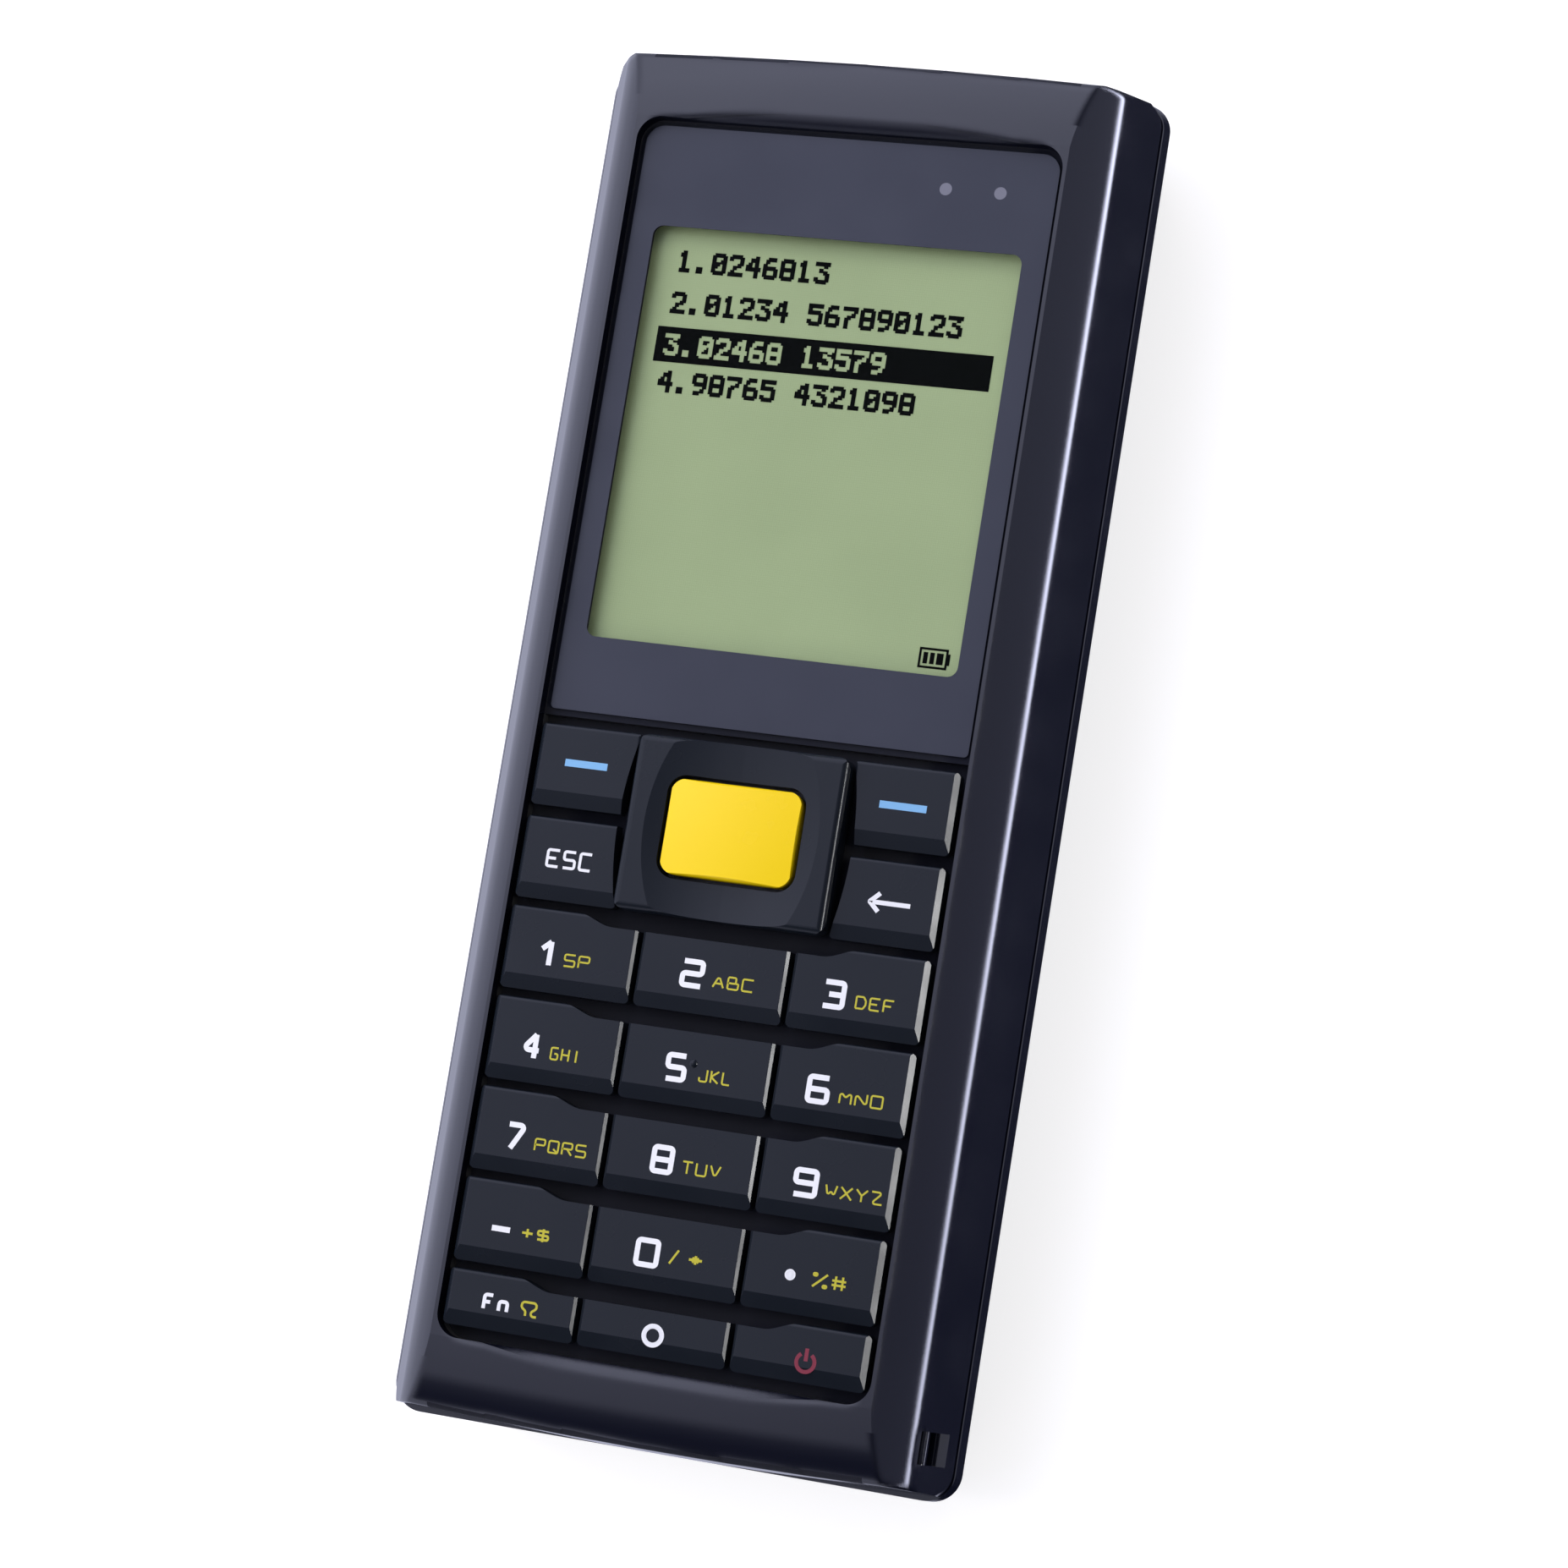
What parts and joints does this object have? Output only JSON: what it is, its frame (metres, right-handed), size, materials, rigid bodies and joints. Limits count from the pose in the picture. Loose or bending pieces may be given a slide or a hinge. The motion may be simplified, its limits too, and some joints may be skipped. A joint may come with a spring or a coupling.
{
  "type": "portable barcode data terminal",
  "caption": "Bar-shaped handheld data terminal with a display above a keypad, a scan window in its head end and a battery door in its back.",
  "frame": {"origin": "bottom centre of the bounding box, on the plane of the flat back", "axes": "+Z out of the face, +Y towards the head with the scan window, +X to the right as the face is read"},
  "size_m": [0.056, 0.132, 0.0244],
  "materials": {
    "case_plastic": "glossy navy-black moulded plastic",
    "key_plastic": "glossy black key plastic",
    "scan_plastic": "glossy yellow key plastic",
    "lens_acrylic": "clear hard acrylic with a black printed underside",
    "display_glass": "grey-green reflective display glass",
    "white_plastic": "white reflector plastic",
    "clear_plastic": "clear light guide plastic",
    "led_resin": "clear lamp resin",
    "ribbon_film": "amber polyimide film",
    "board_laminate": "green solder mask on glass fibre laminate",
    "chip_plastic": "black moulded chip plastic",
    "dome_steel": "stainless spring steel",
    "mat_rubber": "grey silicone rubber",
    "seal_rubber": "dark grey silicone seal",
    "gasket_foam": "black adhesive foam",
    "speaker_plastic": "dark grey speaker body",
    "engine_plastic": "black engine housing",
    "red_window": "dark red filter window",
    "battery_shell": "dark grey battery sleeve",
    "gold_contact": "gold plated contact spring",
    "cell_steel": "nickel plated steel",
    "screw_steel": "zinc plated steel",
    "latch_plastic": "grey latch plastic"
  },
  "bodies": {
    "case": {"front_housing": "case_plastic", "rear_housing": "case_plastic", "housing_seal": "seal_rubber", "display_lens": "lens_acrylic", "lens_gasket": "gasket_foam", "display_glass": "display_glass", "display_frame": "white_plastic", "display_backlight": "white_plastic", "display_flex": "ribbon_film", "light_pipes": "clear_plastic", "status_leds": "led_resin", "main_board": "board_laminate", "board_parts": "chip_plastic", "dome_sheet": "dome_steel", "keypad_mat": "mat_rubber", "speaker": "speaker_plastic", "scan_engine": "engine_plastic", "scan_window": "red_window", "battery": "battery_shell", "battery_contacts": "gold_contact", "charge_contacts": "gold_contact", "backup_cell": "cell_steel", "housing_screws": "screw_steel", "board_screws": "screw_steel"},
    "scan_key": {"scan_key": "scan_plastic"},
    "soft_left_key": {"soft_left_key": "key_plastic"},
    "soft_right_key": {"soft_right_key": "key_plastic"},
    "escape_key": {"escape_key": "key_plastic"},
    "back_key": {"back_key": "key_plastic"},
    "key_1": {"key_1": "key_plastic"},
    "key_2": {"key_2": "key_plastic"},
    "key_3": {"key_3": "key_plastic"},
    "key_4": {"key_4": "key_plastic"},
    "key_5": {"key_5": "key_plastic"},
    "key_6": {"key_6": "key_plastic"},
    "key_7": {"key_7": "key_plastic"},
    "key_8": {"key_8": "key_plastic"},
    "key_9": {"key_9": "key_plastic"},
    "minus_key": {"minus_key": "key_plastic"},
    "key_0": {"key_0": "key_plastic"},
    "point_key": {"point_key": "key_plastic"},
    "function_key": {"function_key": "key_plastic"},
    "enter_key": {"enter_key": "key_plastic"},
    "power_key": {"power_key": "key_plastic"},
    "pad_carrier": {"pad_carrier": "mat_rubber"},
    "direction_pad": {"direction_pad": "key_plastic"},
    "battery_door": {"battery_door": "case_plastic", "door_seal": "seal_rubber"},
    "door_latch": {"door_latch": "latch_plastic"}
  },
  "joints": [
    {"name": "scan_key_press", "type": "slide", "parent": "case", "child": "scan_key", "axis": [0, 0, -1], "range_m": [0, 0.0008], "stiffness_N_per_m": 1800},
    {"name": "soft_left_key_press", "type": "slide", "parent": "case", "child": "soft_left_key", "axis": [0, 0, -1], "range_m": [0, 0.0008], "stiffness_N_per_m": 1500},
    {"name": "soft_right_key_press", "type": "slide", "parent": "case", "child": "soft_right_key", "axis": [0, 0, -1], "range_m": [0, 0.0008], "stiffness_N_per_m": 1500},
    {"name": "escape_key_press", "type": "slide", "parent": "case", "child": "escape_key", "axis": [0, 0, -1], "range_m": [0, 0.0008], "stiffness_N_per_m": 1500},
    {"name": "back_key_press", "type": "slide", "parent": "case", "child": "back_key", "axis": [0, 0, -1], "range_m": [0, 0.0008], "stiffness_N_per_m": 1500},
    {"name": "key_1_press", "type": "slide", "parent": "case", "child": "key_1", "axis": [0, 0, -1], "range_m": [0, 0.0008], "stiffness_N_per_m": 1500},
    {"name": "key_2_press", "type": "slide", "parent": "case", "child": "key_2", "axis": [0, 0, -1], "range_m": [0, 0.0008], "stiffness_N_per_m": 1500},
    {"name": "key_3_press", "type": "slide", "parent": "case", "child": "key_3", "axis": [0, 0, -1], "range_m": [0, 0.0008], "stiffness_N_per_m": 1500},
    {"name": "key_4_press", "type": "slide", "parent": "case", "child": "key_4", "axis": [0, 0, -1], "range_m": [0, 0.0008], "stiffness_N_per_m": 1500},
    {"name": "key_5_press", "type": "slide", "parent": "case", "child": "key_5", "axis": [0, 0, -1], "range_m": [0, 0.0008], "stiffness_N_per_m": 1500},
    {"name": "key_6_press", "type": "slide", "parent": "case", "child": "key_6", "axis": [0, 0, -1], "range_m": [0, 0.0008], "stiffness_N_per_m": 1500},
    {"name": "key_7_press", "type": "slide", "parent": "case", "child": "key_7", "axis": [0, 0, -1], "range_m": [0, 0.0008], "stiffness_N_per_m": 1500},
    {"name": "key_8_press", "type": "slide", "parent": "case", "child": "key_8", "axis": [0, 0, -1], "range_m": [0, 0.0008], "stiffness_N_per_m": 1500},
    {"name": "key_9_press", "type": "slide", "parent": "case", "child": "key_9", "axis": [0, 0, -1], "range_m": [0, 0.0008], "stiffness_N_per_m": 1500},
    {"name": "minus_key_press", "type": "slide", "parent": "case", "child": "minus_key", "axis": [0, 0, -1], "range_m": [0, 0.0008], "stiffness_N_per_m": 1500},
    {"name": "key_0_press", "type": "slide", "parent": "case", "child": "key_0", "axis": [0, 0, -1], "range_m": [0, 0.0008], "stiffness_N_per_m": 1500},
    {"name": "point_key_press", "type": "slide", "parent": "case", "child": "point_key", "axis": [0, 0, -1], "range_m": [0, 0.0008], "stiffness_N_per_m": 1500},
    {"name": "function_key_press", "type": "slide", "parent": "case", "child": "function_key", "axis": [0, 0, -1], "range_m": [0, 0.0008], "stiffness_N_per_m": 1500},
    {"name": "enter_key_press", "type": "slide", "parent": "case", "child": "enter_key", "axis": [0, 0, -1], "range_m": [0, 0.0008], "stiffness_N_per_m": 1500},
    {"name": "power_key_press", "type": "slide", "parent": "case", "child": "power_key", "axis": [0, 0, -1], "range_m": [0, 0.0008], "stiffness_N_per_m": 1500},
    {"name": "pad_rock_up_down", "type": "hinge", "parent": "case", "child": "pad_carrier", "pos_m": [0, -0.00895, 0.0195], "axis": [1, 0, 0], "range_deg": [-2.5, 2.5], "stiffness_Nm_per_rad": 0.5},
    {"name": "pad_rock_left_right", "type": "hinge", "parent": "pad_carrier", "child": "direction_pad", "pos_m": [0, -0.00895, 0.0195], "axis": [0, 1, 0], "range_deg": [-2.5, 2.5], "stiffness_Nm_per_rad": 0.5},
    {"name": "battery_door_hinge", "type": "hinge", "parent": "case", "child": "battery_door", "pos_m": [0, -0.0484, 0.00155], "axis": [-1, 0, 0], "range_deg": [0, 75]},
    {"name": "door_latch_slide", "type": "slide", "parent": "battery_door", "child": "door_latch", "axis": [0, 1, 0], "range_m": [0, 0.0024]}
  ]
}
